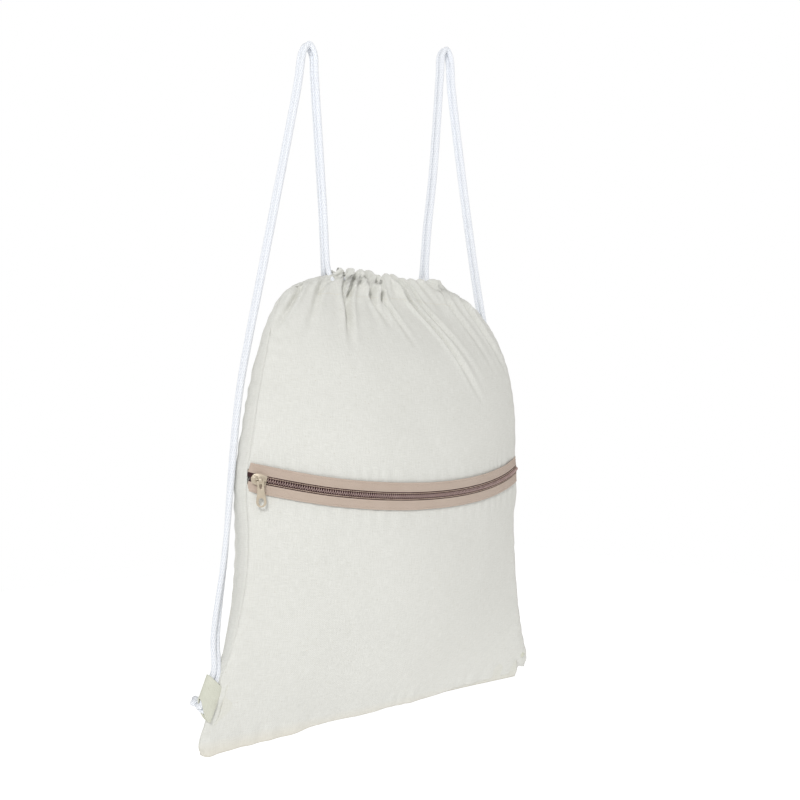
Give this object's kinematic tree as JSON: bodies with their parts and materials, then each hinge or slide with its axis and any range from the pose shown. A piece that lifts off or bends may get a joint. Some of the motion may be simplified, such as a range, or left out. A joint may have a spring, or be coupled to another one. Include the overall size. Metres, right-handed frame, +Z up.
{
  "type": "drawstring rucksack",
  "caption": "Stuffed canvas drawstring rucksack hanging by its cord loops, gathered mouth, curved front zip pocket with slider and pull, cords knotted at corner tabs.",
  "frame": {"origin": "midway between the two cord loops, where the bag is hung up", "axes": "+Z up, -Y is the front with the zip pocket, +X towards the end where the zip is fully open"},
  "size_m": [0.3983, 0.126, 0.6557],
  "materials": {
    "canvas": "matte",
    "zip_tape": "matte",
    "zip_chain": "satin",
    "painted_zinc": "satin",
    "tab_cloth": "matte",
    "cord": "matte"
  },
  "bodies": {
    "bag": {"front_upper_panel": "canvas", "front_pocket_panel": "canvas", "pocket_back_panel": "canvas", "back_panel": "canvas", "front_cord_channel": "canvas", "back_cord_channel": "canvas", "zip_tape_upper": "zip_tape", "zip_tape_lower": "zip_tape", "zip_chain_upper": "zip_chain", "zip_chain_lower": "zip_chain", "left_corner_tab": "tab_cloth", "right_corner_tab": "tab_cloth", "left_cord": "cord", "right_cord": "cord", "left_knot": "cord", "right_knot": "cord"},
    "slider": {"zip_slider": "painted_zinc"},
    "pull": {"pull_tab": "painted_zinc"}
  },
  "joints": [
    {"name": "zip_travel", "type": "hinge", "parent": "bag", "child": "slider", "pos_m": [0, 0.19046, -0.30957], "axis": [0, -0.4067, 0.9135], "range_deg": [0, 63.9]},
    {"name": "pull_swing", "type": "hinge", "parent": "slider", "child": "pull", "pos_m": [-0.15316, -0.03716, -0.4078], "axis": [-0.8753, 0.4815, -0.0445], "range_deg": [0, 150]}
  ]
}
